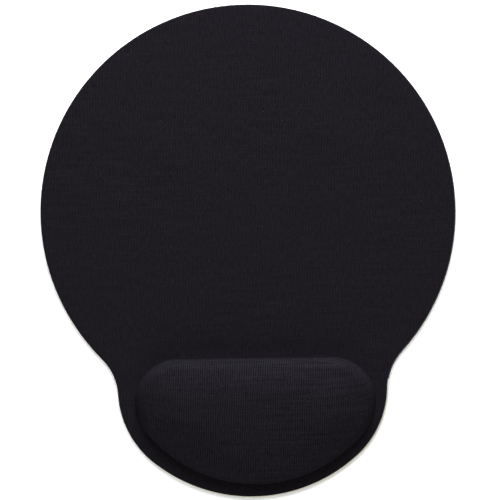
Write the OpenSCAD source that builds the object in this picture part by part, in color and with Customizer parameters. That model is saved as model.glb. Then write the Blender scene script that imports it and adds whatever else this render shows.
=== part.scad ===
// Round fabric mouse mat with a built-in gel wrist rest.
// A disc-shaped mat runs through a shallow neck into a front lobe that carries a D-shaped gel cushion.
// The layers are bonded into one soft laminate, so nothing on it turns or slides.
// Origin: middle of the underside. +X is to the user's right, +Y points away from the user, +Z is up.

/* [Mat outline] */
// Diameter of the round mousing area
disc_d = 203; // [195:1:220]
// Overall length, from the front of the lobe to the back of the disc
mat_length = 241; // [238:1:250]
// Radius of the long curve along the front of the lobe
lobe_front_r = 76.5; // [74:0.5:82]
// Radius of the lobe's two side curves
lobe_side_r = 45.5; // [42:0.5:48]
// Angle below level at which a side curve turns into the front curve
lobe_turn_angle = 48.7; // [46:0.1:52]
// Radius of the two hollow curves at the neck
neck_r = 27.5; // [22:0.5:34]

/* [Layers] */
// Thickness of the anti-slip base sheet
base_t = 1.2; // [0.8:0.1:2]
// Thickness of the adhesive film between base and foam
adhesive_t = 0.15; // [0.1:0.05:0.3]
// Thickness of the foam sheet
foam_t = 2.4; // [1.5:0.1:5]
// Thickness of each of the two films that make up the gel pouch
film_t = 0.2; // [0.15:0.05:0.3]
// Thickness of the knitted cover
fabric_t = 0.6; // [0.4:0.1:1]

/* [Gel cushion] */
// Height of the cushion's crown above the desk
total_h = 22; // [19:0.5:26]
// Size of the cushion from its straight back edge to its front
cushion_depth = 61.5; // [58:0.5:64]
// Width of flat mat left in front of the cushion
front_margin = 6.3; // [5:0.1:8]
// Radius of the curve along the cushion's front, seen from above
cushion_front_r = 69; // [66:0.5:74]
// Radius of the cushion's two back corners, seen from above
cushion_corner_r = 20.5; // [19.5:0.5:24]
// Sideways offset of the cushion from the mat's centreline
cushion_shift = 0.8; // [-2:0.1:2]
// Lean of the cushion's wall from upright, in degrees
wall_lean = 10; // [4:1:12]
// Radius of the shoulder, where the wall turns over into the top
shoulder_r = 5; // [3:0.5:6]
// Radius of the crowned top in section
crown_r = 32; // [26:1:33]
// Slope at which the crowned top meets the shoulder, in degrees
crown_edge_slope = 26; // [20:1:27]
// Width of the welded rim all round the gel pouch
weld_rim = 7; // [4:0.5:9]

/* [Hidden] */
$fn = 180;
// How far overlapping shapes run past each other, and cutters run past what they cut
overlap = 1;
// Step left where one curve of an outline runs into the next, so that they meet on a clean edge
seam = 0.01;
corner_steps = 12;
front_steps = 28;
shoulder_steps = 6;
crown_steps = 5;

// Levels of the layers' undersides, from the desk upwards
adhesive_z = base_t;
foam_z = adhesive_z + adhesive_t;
fabric_z = foam_z + foam_t;
dome_film_z = fabric_z - film_t;
backing_film_z = dome_film_z - film_t;
mat_top = fabric_z + fabric_t;

// Centres of the outline's curves, on the right-hand side of the centreline
disc_r = disc_d / 2;
disc_c = [0, mat_length / 2 - disc_r];
lobe_front_c = [0, lobe_front_r - mat_length / 2];
lobe_side_c = lobe_front_c
    + (lobe_front_r - lobe_side_r) * [cos(lobe_turn_angle), -sin(lobe_turn_angle)];
neck_c = circles_meet(disc_c, disc_r + neck_r, lobe_side_c, lobe_side_r + neck_r);

// Centres of the cushion's curves, with the cushion's own centreline at x = 0
cushion_front_y = front_margin - mat_length / 2;
cushion_back_y = cushion_front_y + cushion_depth;
bow_c = [0, cushion_front_y + cushion_front_r];
corner_y = cushion_back_y - cushion_corner_r;
corner_x = sqrt(pow(cushion_front_r - cushion_corner_r, 2) - pow(bow_c.y - corner_y, 2));
corner_c = [corner_x, corner_y];
corner_turn = atan2(bow_c.y - corner_y, corner_x);

// Section of the cushion's edge: a leaning wall, a shoulder arc and a crown arc, each tangent to the next.
// Distances in the section run inwards from the foot of the wall.
crown_z = total_h - crown_r;
shoulder_z = crown_z + (crown_r - shoulder_r) * cos(crown_edge_slope);
wall_top_z = shoulder_z + shoulder_r * sin(wall_lean);
shoulder_in = (wall_top_z - mat_top) * tan(wall_lean) + shoulder_r * cos(wall_lean);
crown_in = shoulder_in + (crown_r - shoulder_r) * sin(crown_edge_slope);
assert(crown_in < cushion_corner_r, "the crowned top needs larger corners");

// The right-hand point at distance ra from a and rb from b
function circles_meet(a, ra, b, rb) =
    let (
        gap = norm(b - a),
        along = (pow(ra, 2) - pow(rb, 2) + pow(gap, 2)) / (2 * gap),
        across = sqrt(pow(ra, 2) - pow(along, 2)),
        u = (b - a) / gap
    )
    a + along * u + across * [-u.y, u.x];

// Points on an arc from one direction to another
function arc(c, r, from, to, steps) = [
    for (i = [0 : steps])
        let (a = from + (to - from) * i / steps)
        c + r * [cos(a), sin(a)]
];

// All but the two end points of a list
function inner(points) = [for (i = [1 : len(points) - 2]) points[i]];

// The cushion's outline pulled in by a distance, anticlockwise from the right-hand corner's front end
function cushion_ring(pull_in) =
    let (
        corner_r = cushion_corner_r - pull_in,
        front_r = cushion_front_r - pull_in,
        left_c = [-corner_x, corner_y]
    )
    concat(
        arc(corner_c, corner_r, -corner_turn, 90, corner_steps),
        arc(left_c, corner_r, 90, 180 + corner_turn, corner_steps),
        inner(arc(bow_c, front_r, 180 + corner_turn, 360 - corner_turn, front_steps))
    );

// Section points [distance in, height] of the cushion's surface, moved inwards by an inset, from level z0 up
function edge_section(inset, z0) = concat(
    [[(z0 - mat_top) * tan(wall_lean) + inset / cos(wall_lean), z0]],
    arc(
        [shoulder_in, shoulder_z], shoulder_r - inset,
        180 - wall_lean, 90 + crown_edge_slope, shoulder_steps
    ),
    [
        for (i = [1 : crown_steps])
            let (a = 90 + crown_edge_slope * (1 - i / crown_steps))
            [crown_in, crown_z] + (crown_r - inset) * [cos(a), sin(a)]
    ]
);

// A copy on each side of the centreline
module both_sides() {
    children();
    mirror([1, 0, 0]) children();
}

// The part of a disc that faces the user, between the lines from its centre c through (+-x, y)
module front_sector(c, r, x, y, t) {
    reach = 3 * r / norm([x, c.y - y]);
    intersection() {
        translate(c) cylinder(h = t, r = r);
        linear_extrude(t) polygon([
            [-x, y],
            c + reach * [-x, y - c.y],
            c + reach * [x, y - c.y],
            [x, y]
        ]);
    }
}

// A flat layer with the outline of the whole mat
module mat_layer(z, t) {
    translate([0, 0, z]) {
        translate(disc_c) cylinder(h = t, r = disc_r);
        front_sector(lobe_front_c, lobe_front_r, lobe_side_c.x, lobe_side_c.y, t);
        both_sides() translate(lobe_side_c) cylinder(h = t, r = lobe_side_r - seam);
        difference() {
            linear_extrude(t) polygon([
                disc_c,
                neck_c,
                lobe_side_c,
                [-lobe_side_c.x, lobe_side_c.y],
                [-neck_c.x, neck_c.y]
            ]);
            both_sides() translate([neck_c.x, neck_c.y, -overlap])
                cylinder(h = t + 2 * overlap, r = neck_r - seam);
        }
    }
}

// A flat layer with the outline of the cushion and its welded rim
module rim_layer(z, t) {
    corner_r = cushion_corner_r + weld_rim;
    translate([cushion_shift, 0, z]) {
        front_sector(bow_c, cushion_front_r + weld_rim, corner_x, corner_y, t);
        both_sides() translate(corner_c) cylinder(h = t, r = corner_r - seam);
        translate([-corner_x, corner_y - overlap, 0])
            cube([2 * corner_x, corner_r + overlap, t]);
    }
}

// A flat layer of the gel pouch, which is cut off flush with the mat's edge
module pouch_layer(z, t) {
    intersection() {
        mat_layer(z, t);
        rim_layer(z - overlap, t + 2 * overlap);
    }
}

// The cushion's solid form from level z0 up, with its surface moved inwards by an inset
module cushion_form(inset, z0) {
    section = edge_section(inset, z0);
    rings = len(section);
    n = len(cushion_ring(0));
    points = [
        for (s = section, p = cushion_ring(s[0]))
            [p.x + cushion_shift, p.y, s[1]]
    ];
    walls = [
        for (k = [0 : rings - 2], i = [0 : n - 1])
            let (j = (i + 1) % n)
            [k * n + i, (k + 1) * n + i, (k + 1) * n + j, k * n + j]
    ];
    underside = [for (i = [0 : n - 1]) i];
    top = [for (i = [1 : n]) rings * n - i];
    polyhedron(points, concat([underside], walls, [top]));
}

// Flat anti-slip sheet that lies on the desk
module anti_slip_base() {
    color("#232325") mat_layer(0, base_t);
}

// Adhesive film that bonds the base to the foam
module base_adhesive() {
    color("#d8d2bd") mat_layer(adhesive_z, adhesive_t);
}

// Foam sheet with a shallow pressed recess for the gel pouch
module foam_mat() {
    color("#3a3a3a") difference() {
        mat_layer(foam_z, foam_t);
        rim_layer(backing_film_z, 2 * film_t + overlap);
    }
}

// Flat film under the gel
module gel_backing_film() {
    color("#e9e1c8") pouch_layer(backing_film_z, film_t);
}

// Soft gel that fills the pouch
module gel_core() {
    color("#9fc4d6") cushion_form(fabric_t + film_t, dome_film_z);
}

// Thermoformed film over the gel, with the flat rim that is welded to the backing film
module gel_dome_film() {
    color("#efe8d2") difference() {
        union() {
            pouch_layer(dome_film_z, film_t);
            cushion_form(fabric_t, dome_film_z + film_t / 2);
        }
        cushion_form(fabric_t + film_t, dome_film_z - overlap);
    }
}

// Stretch-knit cover, one sheet laminated over the foam and the pouch
module fabric_cover() {
    color("#1f1d22") difference() {
        union() {
            mat_layer(fabric_z, fabric_t);
            cushion_form(0, fabric_z + fabric_t / 2);
        }
        cushion_form(fabric_t, fabric_z - overlap);
    }
}

anti_slip_base();
base_adhesive();
foam_mat();
gel_backing_film();
gel_core();
gel_dome_film();
fabric_cover();
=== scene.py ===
"""A round fabric mouse mat with a built-in gel wrist rest: its looks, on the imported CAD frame."""

import math

import bmesh
import bpy
import numpy as np
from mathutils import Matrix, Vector, geometry


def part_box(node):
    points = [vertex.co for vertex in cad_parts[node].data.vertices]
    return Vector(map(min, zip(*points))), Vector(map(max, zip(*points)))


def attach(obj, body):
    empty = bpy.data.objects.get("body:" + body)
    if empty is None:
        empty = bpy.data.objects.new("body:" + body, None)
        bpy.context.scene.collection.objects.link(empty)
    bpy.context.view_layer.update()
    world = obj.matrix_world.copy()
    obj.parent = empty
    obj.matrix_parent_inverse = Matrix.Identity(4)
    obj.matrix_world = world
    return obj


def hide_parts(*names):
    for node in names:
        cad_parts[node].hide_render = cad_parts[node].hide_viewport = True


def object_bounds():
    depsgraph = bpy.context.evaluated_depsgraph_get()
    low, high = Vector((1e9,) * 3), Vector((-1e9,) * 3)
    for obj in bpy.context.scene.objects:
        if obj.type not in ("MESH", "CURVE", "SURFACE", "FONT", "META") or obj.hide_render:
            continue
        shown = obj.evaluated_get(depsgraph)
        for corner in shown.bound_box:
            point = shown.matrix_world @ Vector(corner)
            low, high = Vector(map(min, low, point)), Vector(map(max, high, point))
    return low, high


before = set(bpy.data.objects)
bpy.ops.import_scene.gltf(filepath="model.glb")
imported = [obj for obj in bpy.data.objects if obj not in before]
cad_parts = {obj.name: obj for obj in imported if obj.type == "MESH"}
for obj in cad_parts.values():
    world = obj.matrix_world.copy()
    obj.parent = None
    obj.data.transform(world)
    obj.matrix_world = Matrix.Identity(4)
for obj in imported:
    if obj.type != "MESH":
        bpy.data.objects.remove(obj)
cad_low, cad_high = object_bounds()

# ---------------------------------------------------------------- sizes, in metres and degrees
MM = 0.001

# Levels and places, from the frame, and how thick the cover and the formed film are
_, base_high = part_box("anti_slip_base")
_, foam_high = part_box("foam_mat")
gel_low, gel_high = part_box("gel_core")
KNIT = 0.6 * MM
FILM = 0.2 * MM
MAT_TOP = foam_high.z + KNIT
GEL_FLOOR = gel_low.z
CROWN = cad_high.z
FRONT, BACK = cad_low.y, cad_high.y

# The mat's outline: its radii, and the centres that make its arcs run into each other. The front
# arc runs round to TURN on either side.
DISC_R = (cad_high.x - cad_low.x) / 2
FRONT_R = 76.5 * MM
SIDE_R = 45.5 * MM
NECK_R = 27.5 * MM
TURN = 48.7
disc_c = np.array([0, BACK - DISC_R])
front_c = np.array([0, FRONT + FRONT_R])

# The cushion's outline and section. The leans are how far its wall leans inwards from the vertical,
# and the slopes are the crown's where it leaves the shoulder: at the back, the front and the ends.
# The crown's arc stops at a slope of CROWN_END, and an even rise to the ridge takes over.
CUSHION_X = (gel_low.x + gel_high.x) / 2
CUSHION_FRONT = FRONT + 8.8 * MM
CUSHION_BACK = CUSHION_FRONT + 58.7 * MM
CUSHION_TURN = -0.8
BOW_R = 72 * MM
CORNER_R = 21 * MM
LEAN, FRONT_LEAN, END_LEAN = 10, -8, 14
FOOT_R = 1.0 * MM
SHOULDER_R, END_SHOULDER_R = 5 * MM, 10.5 * MM
CROWN_R = 38 * MM
BACK_SLOPE, FRONT_SLOPE, END_SLOPE = 25, 13, 30
CROWN_END, END_CROWN_END = 6.5, 9
CROWN_BULGE = 0.8 * MM
RIDGE_SHARE = 0.55

# The outline of the gel pouch's welded rim, which runs past the mat's front edge before it is cut
RIM_FRONT = FRONT - 0.7 * MM
RIM_BACK = RIM_FRONT + 75.5 * MM
RIM_BOW_R = 76 * MM
RIM_CORNER_R = 27.5 * MM


def unit(angle):
    """The direction at an angle in degrees, anticlockwise from +X."""
    return np.array([math.cos(math.radians(angle)), math.sin(math.radians(angle))])


def heading(vector):
    """The angle of a vector, in degrees."""
    return math.degrees(math.atan2(vector[1], vector[0]))


def circles_meet(a, ra, b, rb):
    """The right-hand point at distance ra from a and rb from b."""
    gap = np.linalg.norm(b - a)
    along = (ra**2 - rb**2 + gap**2) / (2 * gap)
    across = math.sqrt(ra**2 - along**2)
    u = (b - a) / gap
    return a + along * u + across * np.array([-u[1], u[0]])


side_c = front_c + (FRONT_R - SIDE_R) * unit(-TURN)
neck_c = circles_meet(disc_c, DISC_R + NECK_R, side_c, SIDE_R + NECK_R)


# ---------------------------------------------------------------- outlines
def arc(centre, radius, start, end, steps):
    """Points on an arc, its last one left out."""
    angles = np.radians(start + (end - start) * np.arange(steps) / steps)
    return centre + radius * np.column_stack([np.cos(angles), np.sin(angles)])


def mirrored(half):
    """A whole loop, anticlockwise, from its right half, which runs from the back to the front."""
    return np.concatenate([half[::-1], half[1:-1] * [-1, 1]])


OUTLINE_STEP = 1.5 * MM


def mat_loop(inset=0.0):
    """The mat's outline, pulled in by an inset."""
    to_neck = heading(neck_c - disc_c)
    to_side = heading(side_c - neck_c)
    # Each run's centre, radius, the way that an inset moves it, and its first and last angle
    runs = [
        (disc_c, DISC_R, -1, 90, to_neck),
        (neck_c, NECK_R, 1, to_neck + 180, to_side),
        (side_c, SIDE_R, -1, to_side - 180, -TURN),
        (front_c, FRONT_R, -1, -TURN, -90),
    ]
    half = []
    for centre, radius, sign, start, end in runs:
        steps = math.ceil(radius * math.radians(abs(end - start)) / OUTLINE_STEP)
        half.append(arc(centre, radius + sign * inset, start, end, steps))
    half.append([[0, FRONT + inset]])
    return mirrored(np.concatenate(half))


STRAIGHT_STEPS = 26
CORNER_STEPS = 26
BOW_STEPS = STRAIGHT_STEPS + CORNER_STEPS


def d_loop(front, back, bow_r, corner_r):
    """A D's outline: a straight back, two rounded corners and a bowed front.

    Every such loop has the same number of points."""
    bow_c = np.array([0, front + bow_r])
    corner_y = back - corner_r
    corner_x = math.sqrt((bow_r - corner_r) ** 2 - (bow_c[1] - corner_y) ** 2)
    corner_c = np.array([corner_x, corner_y])
    corner_turn = heading(corner_c - bow_c)
    straight_x = corner_x * np.arange(STRAIGHT_STEPS) / STRAIGHT_STEPS
    half = np.concatenate([
        np.column_stack([straight_x, np.full(STRAIGHT_STEPS, back)]),
        arc(corner_c, corner_r, 90, corner_turn, CORNER_STEPS),
        arc(bow_c, bow_r, corner_turn, -90, BOW_STEPS),
        [[0, front]],
    ])
    return mirrored(half)


def cushion_loop(inset=0.0):
    """The foot of the cushion's wall, pulled in by an inset. The cushion sits slightly askew."""
    loop = d_loop(CUSHION_FRONT + inset, CUSHION_BACK - inset, BOW_R - inset, CORNER_R - inset)
    middle = np.array([0, (CUSHION_FRONT + CUSHION_BACK) / 2])
    turn = np.array([unit(CUSHION_TURN), unit(CUSHION_TURN + 90)])
    return (loop - middle) @ turn + middle + [CUSHION_X, 0]


def inside(points, loop):
    """Whether each point is inside a loop."""
    x, y = points[:, :1], points[:, 1:]
    ax, ay = loop[:, 0], loop[:, 1]
    bx, by = np.roll(ax, -1), np.roll(ay, -1)
    spans = (ay > y) != (by > y)
    rise = np.where(by == ay, 1, by - ay)
    crosses = spans & (x < (bx - ax) * (y - ay) / rise + ax)
    return crosses.sum(axis=1) % 2 == 1


def pouch_loop(inset):
    """The outline of the gel pouch's welded rim, cut off flush with the mat."""
    rim = d_loop(RIM_FRONT + inset, RIM_BACK - inset, RIM_BOW_R - inset, RIM_CORNER_R - inset)
    rim += [CUSHION_X, 0]
    mat = mat_loop(inset)
    middle = np.array([CUSHION_X, (RIM_FRONT + RIM_BACK) / 2])
    points = np.concatenate([rim[inside(rim, mat)], mat[inside(mat, rim)]])
    bearings = np.arctan2(*(points - middle).T[::-1])
    return points[np.argsort(bearings)]


# ---------------------------------------------------------------- meshes
# Points nearer than MERGE become one, and CLOSE is the least that counts as more than nothing
MERGE = 1e-6
CLOSE = 1e-9


def new_object(name, points, faces):
    """A smooth mesh object with outward normals."""
    mesh = bpy.data.meshes.new(name)
    mesh.from_pydata([tuple(p) for p in points], [], faces)
    b = bmesh.new()
    b.from_mesh(mesh)
    bmesh.ops.remove_doubles(b, verts=b.verts, dist=MERGE)
    bmesh.ops.recalc_face_normals(b, faces=b.faces)
    b.to_mesh(mesh)
    b.free()
    mesh.polygons.foreach_set("use_smooth", [True] * len(mesh.polygons))
    obj = bpy.data.objects.new(name, mesh)
    bpy.context.scene.collection.objects.link(obj)
    return obj


def apply_modifiers(obj):
    """Makes an object's modifiers part of its mesh."""
    graph = bpy.context.evaluated_depsgraph_get()
    baked = bpy.data.meshes.new_from_object(obj.evaluated_get(graph))
    obj.modifiers.clear()
    obj.data = baked


def settled_points(obj):
    """Where an object's points are after its modifiers."""
    graph = bpy.context.evaluated_depsgraph_get()
    return np.array([v.co for v in obj.evaluated_get(graph).data.vertices])


def ring_faces(first, second, n):
    """Quads between two rings of n points, given where each ring starts."""
    return [
        (first + i, first + (i + 1) % n, second + (i + 1) % n, second + i)
        for i in range(n)
    ]


def ring_edges(start, n):
    """Edges that close n points into a ring, given where they start."""
    return [(start + i, start + (i + 1) % n) for i in range(n)]


def triangulate(points, edges):
    """Triangles over points in a plane that keep given edges: places, triangles, and source points."""
    filled = geometry.delaunay_2d_cdt([Vector(p) for p in points], edges, [], 0, CLOSE)
    return np.array([tuple(p) for p in filled[0]]), np.array(filled[2]), filled[3]


def flat_fill(outer, holes, lattice):
    """Triangles between an outer loop and its holes, with a lattice of points inside them."""
    loops = [outer, *holes]
    edges, start = [], 0
    for loop in loops:
        edges += ring_edges(start, len(loop))
        start += len(loop)
    places, triangles, _ = triangulate(np.concatenate([*loops, lattice]), edges)
    middles = places[triangles].mean(axis=1)
    keep = inside(middles, outer)
    for hole in holes:
        keep &= ~inside(middles, hole)
    return places, triangles[keep]


def hex_lattice(pitch, low, high):
    """Centres of a hexagonal lattice over a rectangle."""
    rows = []
    step = pitch * math.sqrt(3) / 2
    for j in range(math.ceil((high[1] - low[1]) / step) + 1):
        x = np.arange(low[0] + (j % 2) * pitch / 2, high[0], pitch)
        rows.append(np.column_stack([x, np.full(len(x), low[1] + j * step)]))
    return np.concatenate(rows)


# ---------------------------------------------------------------- the cushion's form
FOOT_STEPS = 6
WALL_STEPS = 9
SHOULDER_STEPS = 9
CROWN_STEPS = 10


def cushion_section(slope, shoulder_r, wall_lean, slope_end):
    """A section from the flat mat inwards: distances in from the wall's foot, and heights.

    slope and slope_end are the crown's where it meets the shoulder and where it ends, and
    wall_lean is the wall's off the vertical."""
    lean, slope_in = math.radians(wall_lean), math.radians(slope)
    crown_r = CROWN_R * math.sin(math.radians(BACK_SLOPE)) / math.sin(slope_in)
    crown_z = CROWN - CROWN_BULGE - crown_r
    shoulder_z = crown_z + (crown_r - shoulder_r) * math.cos(slope_in)
    wall_top = shoulder_z + shoulder_r * math.sin(lean)
    shoulder_in = (wall_top - MAT_TOP) * math.tan(lean) + shoulder_r * math.cos(lean)
    crown_in = shoulder_in + (crown_r - shoulder_r) * math.sin(slope_in)
    foot_rise = FOOT_R * (1 - math.sin(lean))
    foot_in = foot_rise * math.tan(lean) - FOOT_R * math.cos(lean)
    foot = arc([foot_in, MAT_TOP + FOOT_R], FOOT_R, -90, -wall_lean, FOOT_STEPS)
    wall_z = np.linspace(MAT_TOP + foot_rise, wall_top, WALL_STEPS + 1)[:-1]
    wall = np.column_stack([(wall_z - MAT_TOP) * math.tan(lean), wall_z])
    shoulder_c, crown_c = [shoulder_in, shoulder_z], [crown_in, crown_z]
    shoulder = arc(shoulder_c, shoulder_r, 180 - wall_lean, 90 + slope, SHOULDER_STEPS)
    crown = arc(crown_c, crown_r, 90 + slope, 90 + slope_end, CROWN_STEPS)
    end = crown_c + crown_r * unit(90 + slope_end)
    return np.concatenate([foot, wall, shoulder, crown, [end]])


# Inside the crown's arc, rings shrink towards the ridge: in Y to PLATEAU_END of the first one, and in
# X towards RIDGE_SHARE of it.
PLATEAU_RINGS = 7
PLATEAU_END = 0.3


def cushion_rings():
    """The cushion's surface as rings of points, from the flat mat up to its ridge."""
    sections = np.array([
        cushion_section(BACK_SLOPE, SHOULDER_R, LEAN, CROWN_END),
        cushion_section(FRONT_SLOPE, SHOULDER_R, FRONT_LEAN, CROWN_END),
        cushion_section(END_SLOPE, END_SHOULDER_R, END_LEAN, END_CROWN_END),
    ])
    loop = cushion_loop()
    inward = (cushion_loop(MM) - loop) / MM
    # A point takes its share of each section from the direction that its wall faces
    in_x, in_y = inward.T
    shares = np.array([np.minimum(in_y, 0), np.maximum(in_y, 0), in_x]) ** 2
    rings = []
    for k in range(sections.shape[1]):
        depth, height = sections[:, k].T @ shares
        rings.append(np.column_stack([loop + depth[:, None] * inward, height]))
    rim = rings[-1]
    middle = np.array([CUSHION_X, (rim[:, 1].min() + rim[:, 1].max()) / 2])
    for k in range(1, PLATEAU_RINGS + 1):
        s = 1 - (1 - PLATEAU_END) * k / PLATEAU_RINGS
        scale = [RIDGE_SHARE + s * (1 - RIDGE_SHARE), s]
        flat = middle + scale * (rim[:, :2] - middle)
        z = rim[:, 2] + (CROWN - rim[:, 2]) * (1 - s**2)
        rings.append(np.column_stack([flat, z]))
    return smoothed(np.array(rings))


SMOOTH_FROM = FOOT_STEPS + WALL_STEPS + SHOULDER_STEPS
SMOOTH_STEPS = 80


def smoothed(rings):
    """The rings with the crown evened out, from where it leaves the shoulder."""
    count, n = rings.shape[:2]
    obj = new_object("smoothing", rings.reshape(-1, 3), dome_faces(count, n))
    crown = obj.vertex_groups.new(name="crown")
    crown.add(range(n * SMOOTH_FROM, n * count), 1.0, "REPLACE")
    even = obj.modifiers.new("Smooth", "SMOOTH")
    even.factor = 0.5
    even.iterations = SMOOTH_STEPS
    even.vertex_group = "crown"
    points = settled_points(obj)
    bpy.data.objects.remove(obj)
    return points.reshape(rings.shape)


def ridge_faces(start, n):
    """Faces that close a ring across its ridge, from each back point to the front point facing it."""
    half = n // 2
    faces = []
    for side in (1, -1):
        right = [start + (half + side * i) % n for i in range(half // 2 + 1)]
        left = [start + (-side * i) % n for i in range(half // 2 + 1)]
        for i in range(half // 2 - 1):
            faces.append((right[i], right[i + 1], left[i + 1], left[i]))
        faces.append((right[-2], right[-1], left[-2]))
    return faces


def dome_faces(rings, n):
    """Faces between all the rings of a dome and across its ridge."""
    faces = [f for k in range(rings - 1) for f in ring_faces(k * n, (k + 1) * n, n)]
    return faces + ridge_faces((rings - 1) * n, n)


PRESSURE = 30.0
SWELL_FRAMES = 24
SWELL_LIMIT = 0.9 * MM


def swell(rings):
    """The rings after a cloth simulation has inflated the cover a little, with its foot held down."""
    count, n = rings.shape[:2]
    obj = new_object("swelling", rings.reshape(-1, 3), dome_faces(count, n))
    start = np.array([v.co for v in obj.data.vertices])
    held = obj.vertex_groups.new(name="held")
    held.add(range(n * FOOT_STEPS), 1.0, "REPLACE")
    cloth = obj.modifiers.new("Cloth", "CLOTH")
    cloth.settings.quality = 6
    cloth.settings.mass = 0.05
    cloth.settings.tension_stiffness = 40
    cloth.settings.compression_stiffness = 40
    cloth.settings.shear_stiffness = 20
    cloth.settings.bending_stiffness = 20
    cloth.settings.use_pressure = True
    cloth.settings.uniform_pressure_force = PRESSURE
    cloth.settings.effector_weights.gravity = 0
    cloth.settings.vertex_group_mass = "held"
    cloth.collision_settings.use_collision = False
    cloth.point_cache.frame_end = SWELL_FRAMES
    for number in range(1, SWELL_FRAMES + 1):
        bpy.context.scene.frame_set(number)
    end = settled_points(obj)
    bpy.context.scene.frame_set(1)
    bpy.data.objects.remove(obj)
    moved = end - start
    most = max(np.linalg.norm(moved, axis=1).max(), CLOSE)
    moved *= min(1.0, SWELL_LIMIT / most)
    swollen = smoothed(rings + moved.reshape(rings.shape))
    height = swollen[..., 2] - MAT_TOP
    swollen[..., 2] = MAT_TOP + height * (CROWN - MAT_TOP) / height.max()
    return swollen


def dome_normals(rings):
    """Outward unit normals at the rings' points, upright where the cushion meets the flat mat."""
    count, n = rings.shape[:2]
    obj = new_object("normals", rings.reshape(-1, 3), dome_faces(count, n))
    face_up(obj)
    normals = np.array([v.vector for v in obj.data.vertex_normals]).reshape(rings.shape)
    bpy.data.objects.remove(obj)
    normals[0] = [0, 0, 1]
    return normals


def face_up(obj):
    """Turns a sheet's faces so that they point up on the whole."""
    total = sum(p.normal.z * p.area for p in obj.data.polygons)
    if total < 0:
        obj.data.flip_normals()


dome = cushion_rings()
dome = swell(dome)
normals = dome_normals(dome)

# Between the cushion's foot and the cut edge, the flat mat's points lie on a lattice that stays
# FOOT_MARGIN off the cushion, and the mat is uneven from EVEN_MARGIN off it.
LATTICE = 4 * MM
FOOT_MARGIN = 5 * MM
EVEN_MARGIN = 4 * MM
WAVE = 0.05 * MM


def waviness(points):
    """Slight unevenness of the foam under the cover, as heights."""
    x, y = points[:, 0], points[:, 1]
    return WAVE * (
        np.sin(95 * x + 1.3) * np.cos(70 * y - 0.4)
        + 0.6 * np.sin(170 * y + 60 * x + 2.1)
        + 0.4 * np.sin(230 * x - 120 * y)
    )


def flat_skin(foot, outer, inset, level):
    """The flat part of a skin, from the cushion's foot out to an inset: its points and triangles."""
    rim = outer(inset)
    lattice = hex_lattice(LATTICE, rim.min(axis=0), rim.max(axis=0))
    keep = inside(lattice, outer(inset + LATTICE)) & ~inside(lattice, cushion_loop(-FOOT_MARGIN))
    flat, triangles = flat_fill(rim, [foot], lattice[keep])
    heights = np.full(len(flat), level)
    uneven = inside(flat, outer(inset + LATTICE / 2)) & ~inside(flat, cushion_loop(-EVEN_MARGIN))
    heights[uneven] += waviness(flat[uneven])
    return np.column_stack([flat, heights]), triangles


def skin(name, depth, thickness, outer, edge):
    """A closed sheet over mat and cushion, its upper side lying depth below the cover's.

    outer gives its outline at an inset, and edge lists how the rim falls away: insets and drops."""
    rings = dome - depth * normals
    count, n = rings.shape[:2]
    rim = [outer(inset) for inset, _ in edge]
    level = MAT_TOP - depth
    flat, triangles = flat_skin(rings[0, :, :2], outer, edge[0][0], level)
    points = [rings.reshape(-1, 3), flat]
    faces = dome_faces(count, n)
    start = count * n
    faces += [tuple(int(i) + start for i in t) for t in triangles]
    start += len(flat)
    for loop, (_, drop) in zip(rim, edge):
        points.append(np.column_stack([loop, np.full(len(loop), level - drop)]))
    m = len(rim[0])
    for k in range(len(rim) - 1):
        faces += ring_faces(start + (k + 1) * m, start + k * m, m)
    obj = new_object(name, np.concatenate(points), faces)
    face_up(obj)
    solid = obj.modifiers.new("Solidify", "SOLIDIFY")
    solid.thickness = thickness
    solid.offset = -1
    solid.use_even_offset = False
    apply_modifiers(obj)
    return obj


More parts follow.
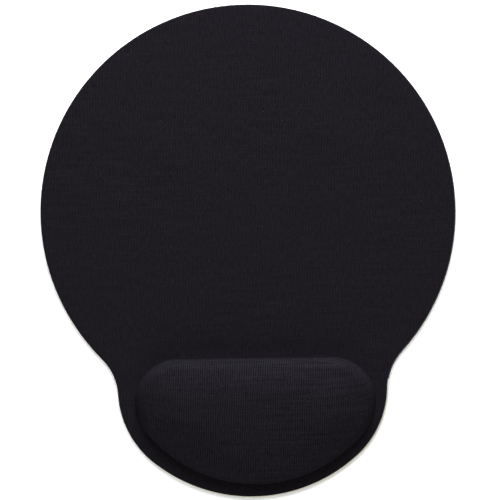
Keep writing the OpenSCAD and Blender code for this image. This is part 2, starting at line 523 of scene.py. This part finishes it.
# ---------------------------------------------------------------- materials
class Look:
    """A node material. Its textures are laid out in millimetres of the shared frame."""

    def __init__(self, name, roughness, specular, **fixed):
        self.material = bpy.data.materials.new(name)
        self.material.use_nodes = True
        self.tree = self.material.node_tree
        self.surface = self.tree.nodes["Principled BSDF"]
        self.surface.inputs["Roughness"].default_value = roughness
        self.surface.inputs["Specular IOR Level"].default_value = specular
        for key, value in fixed.items():
            self.surface.inputs[key.replace("_", " ")].default_value = value
        place = self.add("ShaderNodeTexCoord").outputs["Object"]
        self.place = self.scaled(place, 1 / MM)
        axes = self.add("ShaderNodeSeparateXYZ", self.place)
        self.x, self.y, self.z = axes.outputs

    def join(self, socket, value):
        """Links a node's output to a socket, or sets a plain value on it."""
        if isinstance(value, bpy.types.NodeSocket):
            self.tree.links.new(value, socket)
        else:
            socket.default_value = value

    def add(self, kind, *inputs, **settings):
        """A new node, with its inputs set in order and its settings by name."""
        node = self.tree.nodes.new(kind)
        for key, value in settings.items():
            setattr(node, key, value)
        for socket, value in zip(node.inputs, inputs):
            self.join(socket, value)
        return node

    def math(self, operation, *values):
        """A sum, product or other function of numbers."""
        return self.add("ShaderNodeMath", *values, operation=operation).outputs[0]

    def scaled(self, place, factor):
        """A vector multiplied by a plain number."""
        node = self.add("ShaderNodeVectorMath", place, operation="SCALE")
        node.inputs["Scale"].default_value = factor
        return node.outputs[0]

    def combine(self, x, y, z=0.0):
        """A vector from its three numbers."""
        return self.add("ShaderNodeCombineXYZ", x, y, z).outputs[0]

    def noise(self, place, scale, detail, roughness=0.5):
        """Noise from 0 to 1; scale is in features per millimetre."""
        node = self.add("ShaderNodeTexNoise")
        self.join(node.inputs["Vector"], place)
        node.inputs["Scale"].default_value = scale
        node.inputs["Detail"].default_value = detail
        node.inputs["Roughness"].default_value = roughness
        return node.outputs["Fac"]

    def span(self, value, low, high, to_low=0.0, to_high=1.0):
        """A value's range from low to high, carried over to another range."""
        node = self.add("ShaderNodeMapRange", value, low, high, to_low, to_high)
        return node.outputs["Result"]

    def wave(self, value):
        """A wave from 0 to 1 that peaks at every whole number."""
        turn = self.math("MULTIPLY", value, 2 * math.pi)
        return self.span(self.math("COSINE", turn), -1, 1)

    def around(self, value, centre, factor):
        """A value's distance from a centre, multiplied by a factor."""
        off = self.math("SUBTRACT", value, centre)
        return self.math("ADD", self.math("MULTIPLY", off, factor), centre)

    def drawn_out(self, share):
        """The textures' place with X scaled by a share, which draws a pattern out along X."""
        return self.combine(self.math("MULTIPLY", self.x, share), self.y, self.z)

    def mix(self, factor, a, b):
        """A blend of two colours."""
        node = self.add("ShaderNodeMix", data_type="RGBA")
        colours = [s for s in node.inputs if s.type == "RGBA"]
        self.join(node.inputs[0], factor)
        self.join(colours[0], (*a, 1) if isinstance(a, tuple) else a)
        self.join(colours[1], (*b, 1) if isinstance(b, tuple) else b)
        return next(s for s in node.outputs if s.type == "RGBA")

    def colour(self, value):
        """Paints the surface."""
        self.join(self.surface.inputs["Base Color"], value)

    def relief(self, height, depth):
        """Bump from a height of 0 to 1 that stands for a depth in millimetres."""
        node = self.add("ShaderNodeBump")
        node.inputs["Strength"].default_value = 1.0
        node.inputs["Distance"].default_value = depth * MM
        self.join(node.inputs["Height"], height)
        self.join(self.surface.inputs["Normal"], node.outputs["Normal"])


def wear(obj, look):
    """Gives an object one material all over."""
    obj.data.materials.clear()
    obj.data.materials.append(look.material)


# The knit's ribs and stitches in millimetres, and the share by which the cushion stretches the ribs
WALE = 0.752
COURSE = 0.71
DOME_STRETCH = 0.147
STITCH_SLANT = 1.2
LOOP_MIDDLE = 0.37

# Colours, darker and paler, in linear light
KNIT_TINTS = (0.0026, 0.0022, 0.0030), (0.0127, 0.0111, 0.0142)
LINT = (0.04, 0.038, 0.043)
CUT_EDGE = (0.06, 0.055, 0.045)
FORMED_TINTS = (0.6, 0.56, 0.45), (0.72, 0.68, 0.58)
BACKING_TINTS = (0.7, 0.64, 0.5), (0.8, 0.75, 0.6)
GEL_TINTS = (0.45, 0.62, 0.7), (0.56, 0.7, 0.76)
BUBBLE = (0.85, 0.9, 0.92)
FOAM_TINTS = (0.02, 0.02, 0.018), (0.06, 0.06, 0.055)
RUBBER_TINTS = (0.012, 0.012, 0.013), (0.03, 0.03, 0.031)
DUST = (0.07, 0.066, 0.06)
GLUE_TINTS = (0.5, 0.45, 0.32), (0.68, 0.64, 0.52)


def knit_place(look, rise):
    """Where a point of the knit was before it was stretched: across the ribs and along them."""
    stretch = look.math("MULTIPLY_ADD", rise, DOME_STRETCH, 1)
    across = look.math("DIVIDE", look.math("SUBTRACT", look.x, CUSHION_X / MM), stretch)
    wander = look.noise(look.place, 0.03, 2)
    across = look.math("MULTIPLY_ADD", wander, 1.5, across)
    return across, look.math("MULTIPLY_ADD", look.z, 0.35, look.y)


def knit_loops(look, wale, y):
    """The yarn's height from 0 to 1: rounded ribs, crossed by slanting stitches."""
    slant = look.math("MULTIPLY", look.math("PINGPONG", wale, 0.5), STITCH_SLANT)
    stitch = look.wave(look.math("ADD", look.math("DIVIDE", y, COURSE), slant))
    return look.math("MULTIPLY", look.wave(wale), look.span(stitch, 0, 1, 0.5, 1))


def knit_bars(look, x, y, rise):
    """Faint patchy bars across the ribs, stronger on the cushion."""
    long = look.combine(look.math("MULTIPLY", x, 0.04), look.math("MULTIPLY", y, 0.8))
    bars = look.span(look.noise(long, 1.0, 1), 0.3, 0.7, -1, 1)
    patch = look.span(look.noise(look.place, 0.02, 1), 0.4, 0.6, 0.1, 0.3)
    return look.math("MULTIPLY", look.math("MULTIPLY", bars, patch), look.span(rise, 0, 1, 0.2, 0.4))


def knit_look():
    """Fine stretch knit, near black: ribs along Y, stitches along each rib, and a little lint.

    The ribs are further apart where the cushion stretches them. On its back edge they stand out more:
    painted shade and highlight on the loops, as if the light raked them from behind."""
    look = Look("stretch_knit", 0.9, 0.0, Sheen_Weight=0.002, Sheen_Roughness=0.5)
    rise = look.span(look.z, MAT_TOP / MM, (MAT_TOP + CROWN) / 2 / MM)
    x, y = knit_place(look, rise)
    wale = look.math("DIVIDE", x, WALE)
    # Stronger rib contrast on the cushion's back edge: painted shade and highlight on the loops, where
    # the light rakes from behind
    back = look.span(look.y, CUSHION_BACK / MM - 9, CUSHION_BACK / MM - 2)
    edge = look.span(look.math("MULTIPLY", rise, back), 0, 1, 0.6, 1.5)
    contrast = look.math("ADD", edge, look.math("MULTIPLY", rise, 0.25))
    loops = look.around(knit_loops(look, wale, y), LOOP_MIDDLE, contrast)
    yarns = look.noise(look.combine(wale, look.math("MULTIPLY", y, 0.3)), 1.0, 1)
    mottle = look.noise(look.place, 1.6, 3)
    tone = look.math("MULTIPLY_ADD", loops, 0.85, 0.08)
    tone = look.math("ADD", tone, look.span(yarns, 0.25, 0.75, -0.11, 0.11))
    tone = look.math("ADD", tone, knit_bars(look, x, y, rise))
    tone = look.math("ADD", tone, look.span(mottle, 0.25, 0.75, -0.22, 0.22))
    lint = look.span(look.noise(look.place, 1.3, 1), 0.79, 0.83)
    cloth = look.mix(lint, look.mix(tone, *KNIT_TINTS), LINT)
    cut = look.span(look.z, MAT_TOP / MM - 0.3, MAT_TOP / MM - 0.13, 0.6, 0)
    cut = look.math("MULTIPLY", cut, look.span(look.noise(look.place, 2.5, 1), 0.4, 0.6))
    look.colour(look.mix(cut, cloth, CUT_EDGE))
    height = look.math("ADD", look.math("MULTIPLY", loops, 0.8), look.math("MULTIPLY", mottle, 0.2))
    look.relief(height, 0.1)
    return look


def film_look(name, tints):
    """Milky film, a little creased by the forming and the weld."""
    look = Look(name, 0.38, 0.5, Transmission_Weight=0.3, IOR=1.5)
    look.colour(look.mix(look.noise(look.place, 0.12, 3), *tints))
    look.relief(look.noise(look.drawn_out(0.3), 1.4, 3), 0.05)
    return look


def gel_look():
    """Soft clear gel with a faint blue tint and fine bubbles."""
    look = Look("gel", 0.12, 0.5, Transmission_Weight=0.85, IOR=1.41)
    clear = look.mix(look.noise(look.place, 0.08, 2), *GEL_TINTS)
    bubble = look.span(look.noise(look.place, 1.5, 0), 0.74, 0.8)
    look.colour(look.mix(bubble, clear, BUBBLE))
    look.relief(bubble, 0.1)
    return look


def foam_look():
    """Fine sponge, dark olive grey, with small cells that show where it is cut."""
    look = Look("sponge", 0.95, 0.15)
    cells = look.add("ShaderNodeTexVoronoi", feature="F1")
    look.join(cells.inputs["Vector"], look.place)
    cells.inputs["Scale"].default_value = 4.5
    pore = look.span(cells.outputs["Distance"], 0.1, 0.65)
    patch = look.span(look.noise(look.place, 0.6, 3), 0.3, 0.7, 0.7, 1.1)
    look.colour(look.mix(look.math("MULTIPLY", pore, patch), *FOAM_TINTS))
    look.relief(pore, 0.08)
    return look


def rubber_look():
    """Dark non-slip rubber: fine grain, faint scuffs and a little dust."""
    look = Look("grip_rubber", 0.7, 0.35)
    grain = look.noise(look.place, 4.0, 3, 0.65)
    scuff = look.noise(look.drawn_out(0.2), 0.5, 4)
    dust = look.span(look.noise(look.place, 0.03, 4), 0.5, 0.75, 0, 0.5)
    tone = look.math("MULTIPLY_ADD", grain, 0.5, look.math("MULTIPLY", scuff, 0.5))
    plain = look.mix(tone, *RUBBER_TINTS)
    look.colour(look.mix(look.math("MULTIPLY", dust, grain), plain, DUST))
    look.join(look.surface.inputs["Roughness"], look.span(scuff, 0.3, 0.7, 0.55, 0.85))
    look.relief(grain, 0.03)
    return look


def glue_look():
    """Dried spray adhesive, pale amber and blotchy."""
    look = Look("dried_glue", 0.45, 0.4)
    blot = look.noise(look.place, 0.5, 4)
    look.colour(look.mix(blot, *GLUE_TINTS))
    look.relief(blot, 0.05)
    return look


# ---------------------------------------------------------------- pieces
# How the cover's cut edge falls away where the die pressed it: insets and drops. The cover lies a
# little to the left and back, so that the film under it shows at the front and right.
EDGE_ROLL = [
    (1.1 * MM, 0),
    (0.7 * MM, 0.02 * MM),
    (0.42 * MM, 0.08 * MM),
    (0.22 * MM, 0.2 * MM),
    (0.12 * MM, 0.34 * MM),
]
COVER_SHIFT = np.array([-0.3 * MM, 0.3 * MM])


def stands_for(piece, node, look):
    """Puts a finished piece in a CAD node's place."""
    wear(piece, look)
    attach(piece, "root")
    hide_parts(node)
    return piece


def make_cover():
    """The knitted cover, its cut edge pressed down by the die."""
    cover = skin("knit_cover", 0, KNIT, lambda inset: mat_loop(inset) + COVER_SHIFT, EDGE_ROLL)
    return stands_for(cover, "fabric_cover", knit_look())


def make_film():
    """The formed film over the gel, a pale line where it reaches past the cover's cut edge."""
    film = skin("dome_film", KNIT, FILM, pouch_loop, [(0, 0)])
    return stands_for(film, "gel_dome_film", film_look("formed_film", FORMED_TINTS))


def make_gel():
    """The gel pad: the space under the formed film, flat below."""
    rings = (dome - (KNIT + FILM) * normals)[FOOT_STEPS // 2:]
    floor = rings[:1].copy()
    floor[..., 2] = GEL_FLOOR
    rings = np.concatenate([floor, rings])
    count, n = rings.shape[:2]
    pad = new_object("gel_pad", rings.reshape(-1, 3), dome_faces(count, n) + ridge_faces(0, n))
    stands_for(pad, "gel_core", gel_look())
    return pad


CELL_PITCH = 3.6 * MM
CELL_R = 1.6 * MM
CELL_DEPTH = 0.3 * MM
CELL_MARGIN = 3.5 * MM
BASE_BEVEL = 0.25 * MM
BASE_CREASE = 35


def honeycomb(outline):
    """A flat underside with hexagonal pits: its points and faces."""
    centres = hex_lattice(CELL_PITCH, outline.min(axis=0), outline.max(axis=0))
    centres = centres[inside(centres, mat_loop(CELL_MARGIN))]
    hexagon = CELL_R * np.array([unit(60 * k + 30) for k in range(6)])
    corners = (centres[:, None] + hexagon).reshape(-1, 2)
    m = len(outline)
    edges = ring_edges(0, m)
    for k in range(len(centres)):
        edges += ring_edges(m + 6 * k, 6)
    places, triangles, sources = triangulate(np.concatenate([outline, corners]), edges)
    cell = np.array([(source[0] - m) // 6 for source in sources])[triangles]
    in_cell = (cell == cell[:, :1]).all(axis=1) & (cell[:, 0] >= 0)
    # A triangle whose corners all belong to one cell covers that cell, and is left out
    ribs = triangles[~in_cell & inside(places[triangles].mean(axis=1), outline)]
    layers = [np.column_stack([places, np.zeros(len(places))])]
    layers += [np.column_stack([corners, np.full(len(corners), z)]) for z in (0, CELL_DEPTH)]
    faces = [tuple(t) for t in ribs.tolist()]
    for k in range(len(centres)):
        rim = len(places) + 6 * k
        pit = rim + len(corners)
        faces += ring_faces(rim, pit, 6)
        faces.append(tuple(range(pit, pit + 6)))
    return np.concatenate(layers), faces


def make_base():
    """The non-slip base, with a honeycomb of shallow cells moulded into its underside."""
    points, faces = honeycomb(mat_loop(BASE_BEVEL))
    layers = [points]
    start = len(points)
    rim = mat_loop()
    m = len(rim)
    side = [(BASE_BEVEL, 0), (0, BASE_BEVEL), (0, base_high.z)]
    layers += [np.column_stack([mat_loop(inset), np.full(m, z)]) for inset, z in side]
    for k in range(len(side) - 1):
        faces += ring_faces(start + k * m, start + (k + 1) * m, m)
    start += len(side) * m
    lattice = hex_lattice(3 * LATTICE, rim.min(axis=0), rim.max(axis=0))
    top, triangles = flat_fill(rim, [], lattice[inside(lattice, mat_loop(LATTICE))])
    layers.append(np.column_stack([top, np.full(len(top), base_high.z)]))
    faces += [tuple(t) for t in (triangles + start).tolist()]
    base = new_object("grip_base", np.concatenate(layers), faces)
    base.data.set_sharp_from_angle(angle=math.radians(BASE_CREASE))
    return stands_for(base, "anti_slip_base", rubber_look())


base = make_base()
gel = make_gel()
film = make_film()
cover = make_cover()
wear(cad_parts["base_adhesive"], glue_look())
wear(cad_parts["foam_mat"], foam_look())
wear(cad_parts["gel_backing_film"], film_look("backing_film", BACKING_TINTS))


# ---------------------------------------------------------------- light, floor, camera
VIEW_WIDTH = 244.5 * MM
VIEW_CENTRE = Vector((0.33 * MM, 0.5 * MM, MAT_TOP))
VIEW_ROLL = -1.564
VIEW_DISTANCE = 1.2


def make_camera():
    """Straight overhead, with the mat turned slightly anticlockwise in the picture."""
    data = bpy.data.cameras.new("camera")
    data.lens = data.sensor_width * VIEW_DISTANCE / VIEW_WIDTH
    camera = bpy.data.objects.new("camera", data)
    camera.location = VIEW_CENTRE + Vector((0, 0, VIEW_DISTANCE))
    camera.rotation_euler.z = math.radians(VIEW_ROLL)
    bpy.context.scene.collection.objects.link(camera)
    bpy.context.scene.camera = camera


def softbox(name, place, size, power, tint=(1, 1, 1)):
    """A soft area light that faces the object and isn't seen itself."""
    data = bpy.data.lights.new(name, "AREA")
    data.shape = "RECTANGLE"
    data.size, data.size_y = size
    data.energy = power
    data.color = tint
    light = bpy.data.objects.new(name, data)
    light.location = place
    light.rotation_euler = (-Vector(place)).to_track_quat("-Z", "Y").to_euler()
    light.visible_camera = False
    bpy.context.scene.collection.objects.link(light)


def on_sphere(azimuth, zenith, distance):
    """A place seen from the origin: degrees clockwise from +Y, degrees down from +Z, and how far."""
    across, forward = unit(90 - azimuth) * math.sin(math.radians(zenith)) * distance
    return across, forward, math.cos(math.radians(zenith)) * distance


WORLD_TINT = (0.85, 1, 1, 1)
WORLD_STRENGTH = 0.2


def make_light():
    """Two lights high behind, a low one that rakes the mat from behind, a weak fill in front, and one
    from straight below for the underside."""
    softbox("high_light", on_sphere(0, 25, 0.9), (0.45, 0.45), 6.9)
    softbox("broad_light", on_sphere(0, 15, 0.9), (0.8, 0.8), 3.6)
    softbox("raking_light", on_sphere(3, 80, 0.78), (0.4, 0.2), 21.5, (0.93, 1, 1.02))
    softbox("front_fill", on_sphere(180, 60, 0.9), (0.9, 0.5), 6.2, (1, 0.97, 0.92))
    softbox("under_light", on_sphere(0, 180, 1.0), (0.8, 0.8), 12)
    world = bpy.data.worlds.new("studio")
    world.use_nodes = True
    background = world.node_tree.nodes["Background"]
    background.inputs["Strength"].default_value = WORLD_STRENGTH
    background.inputs["Color"].default_value = WORLD_TINT
    bpy.context.scene.world = world
    bpy.context.scene.view_settings.view_transform = "Standard"


FLOOR_TINTS = (0.9, 0.9, 0.9), (0.92, 0.92, 0.92)
FLOOR_HALF = 3
FLOOR_GAP = 0.05 * MM


def make_floor():
    """A white floor. It is clear from below and casts no shadow, so that the underside can be seen."""
    look = Look("pale_floor", 0.6, 0.2)
    look.colour(look.mix(look.noise(look.place, 0.02, 2), *FLOOR_TINTS))
    back = look.add("ShaderNodeNewGeometry").outputs["Backfacing"]
    clear = look.add("ShaderNodeBsdfTransparent").outputs[0]
    both = look.add("ShaderNodeMixShader", back, look.surface.outputs[0], clear)
    look.join(look.tree.nodes["Material Output"].inputs["Surface"], both.outputs[0])
    b = bmesh.new()
    bmesh.ops.create_grid(b, x_segments=2, y_segments=2, size=FLOOR_HALF)
    mesh = bpy.data.meshes.new("floor")
    b.to_mesh(mesh)
    b.free()
    floor = bpy.data.objects.new("floor", mesh)
    floor.location.z = -FLOOR_GAP
    floor.visible_shadow = False
    wear(floor, look)
    bpy.context.scene.collection.objects.link(floor)


make_camera()
make_light()
make_floor()
